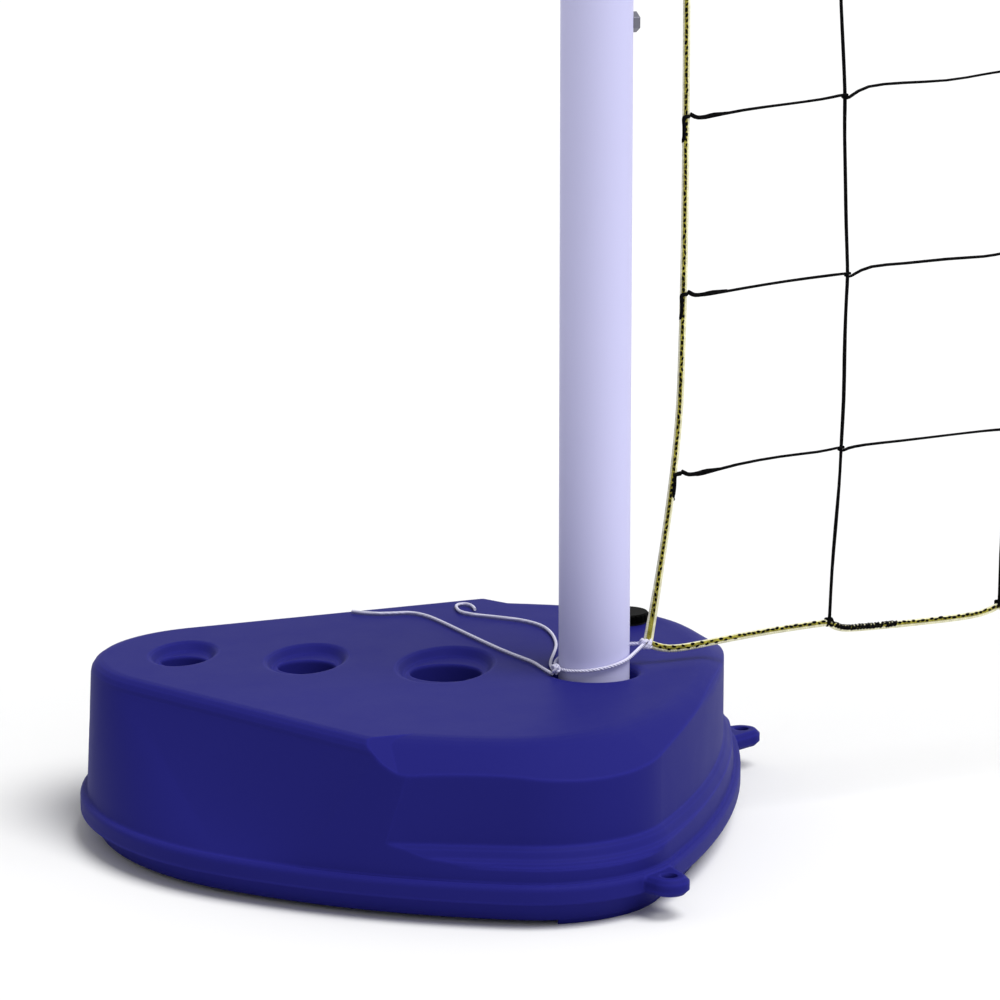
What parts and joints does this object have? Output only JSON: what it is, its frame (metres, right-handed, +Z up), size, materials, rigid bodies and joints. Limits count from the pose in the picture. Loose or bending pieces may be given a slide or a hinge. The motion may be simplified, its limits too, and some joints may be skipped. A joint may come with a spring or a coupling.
{
  "type": "volleyball net on weighted poles",
  "caption": "Freestanding volleyball net: knotted net tied between two tube poles in water-fillable moulded bases.",
  "frame": {"origin": "on the floor midway between the two poles", "axes": "+X along the net towards the right pole, +Y away from the viewer, +Z up"},
  "size_m": [4.0128, 0.4872, 1.082],
  "materials": {
    "blue_plastic": "satin blow-moulded",
    "cap_plastic": "satin",
    "seal_rubber": "matte",
    "black_plastic": "satin",
    "pole_paint": "semi-gloss powder coat",
    "zinc_steel": "zinc plated",
    "black_twine": "twisted twine",
    "border_tape": "woven tape, black stitches",
    "head_tape": "folded woven tape",
    "white_string": "braided cord"
  },
  "bodies": {
    "left_base": {"base_tank_left": "blue_plastic"},
    "left_cap_seal": {"cap_seal_left": "seal_rubber"},
    "left_cap": {"filler_cap_left": "cap_plastic"},
    "left_tie": {"tie_knot_left": "white_string", "tie_tail_long_left": "white_string", "tie_tail_short_left": "white_string"},
    "net_frame": {"pole_lower_left": "pole_paint", "pole_upper_left": "pole_paint", "pole_sleeve_left": "zinc_steel", "pole_bolts_left": "zinc_steel", "pole_nuts_left": "zinc_steel", "foot_plug_left": "black_plastic", "top_cap_left": "black_plastic", "eye_bolt_left": "zinc_steel", "eye_nut_left": "zinc_steel", "tie_loop_left": "white_string", "corner_knot_left": "white_string", "head_knot_left": "white_string", "side_tape_left": "border_tape", "pole_lower_right": "pole_paint", "pole_upper_right": "pole_paint", "pole_sleeve_right": "zinc_steel", "pole_bolts_right": "zinc_steel", "pole_nuts_right": "zinc_steel", "foot_plug_right": "black_plastic", "top_cap_right": "black_plastic", "eye_bolt_right": "zinc_steel", "eye_nut_right": "zinc_steel", "tie_loop_right": "white_string", "corner_knot_right": "white_string", "head_knot_right": "white_string", "side_tape_right": "border_tape", "net_mesh": "black_twine", "bottom_tape": "border_tape", "head_tape": "head_tape", "head_cord": "white_string"},
    "right_tie": {"tie_knot_right": "white_string", "tie_tail_long_right": "white_string", "tie_tail_short_right": "white_string"},
    "right_base": {"base_tank_right": "blue_plastic"},
    "right_cap_seal": {"cap_seal_right": "seal_rubber"},
    "right_cap": {"filler_cap_right": "cap_plastic"}
  },
  "joints": [
    {"name": "left_cap_rise", "type": "slide", "parent": "left_base", "child": "left_cap_seal", "axis": [0, 0, 1], "range_m": [0, 0.0091]},
    {"name": "left_cap_turn", "type": "hinge", "parent": "left_cap_seal", "child": "left_cap", "pos_m": [-1.66418, 0.10114, 0.094], "axis": [0, 0, 1], "range_deg": [0, 1080]},
    {"name": "left_pole_lift", "type": "slide", "parent": "left_base", "child": "left_tie", "axis": [0, 0, 1], "range_m": [0, 0.08]},
    {"name": "left_base_swivel", "type": "hinge", "parent": "left_tie", "child": "net_frame", "pos_m": [-1.7324, 0, 0.094], "axis": [0, 0, 1], "range_deg": [-45, 45]},
    {"name": "right_base_swivel", "type": "hinge", "parent": "net_frame", "child": "right_tie", "pos_m": [1.7324, 0, 0.094], "axis": [0, 0, 1], "range_deg": [-45, 45]},
    {"name": "right_base_drop", "type": "slide", "parent": "right_tie", "child": "right_base", "axis": [0, 0, -1], "range_m": [0, 0.08]},
    {"name": "right_cap_rise", "type": "slide", "parent": "right_base", "child": "right_cap_seal", "axis": [0, 0, 1], "range_m": [0, 0.0091]},
    {"name": "right_cap_turn", "type": "hinge", "parent": "right_cap_seal", "child": "right_cap", "pos_m": [1.66418, -0.10114, 0.094], "axis": [0, 0, 1], "range_deg": [0, 1080]}
  ],
  "couplings": [
    {"joint": "left_cap_rise", "follows": "left_cap_turn", "m_per_rad": 0.00047746},
    {"joint": "right_cap_rise", "follows": "right_cap_turn", "m_per_rad": 0.00047746},
    {"joint": "right_base_drop", "follows": "left_pole_lift", "ratio": 1}
  ]
}
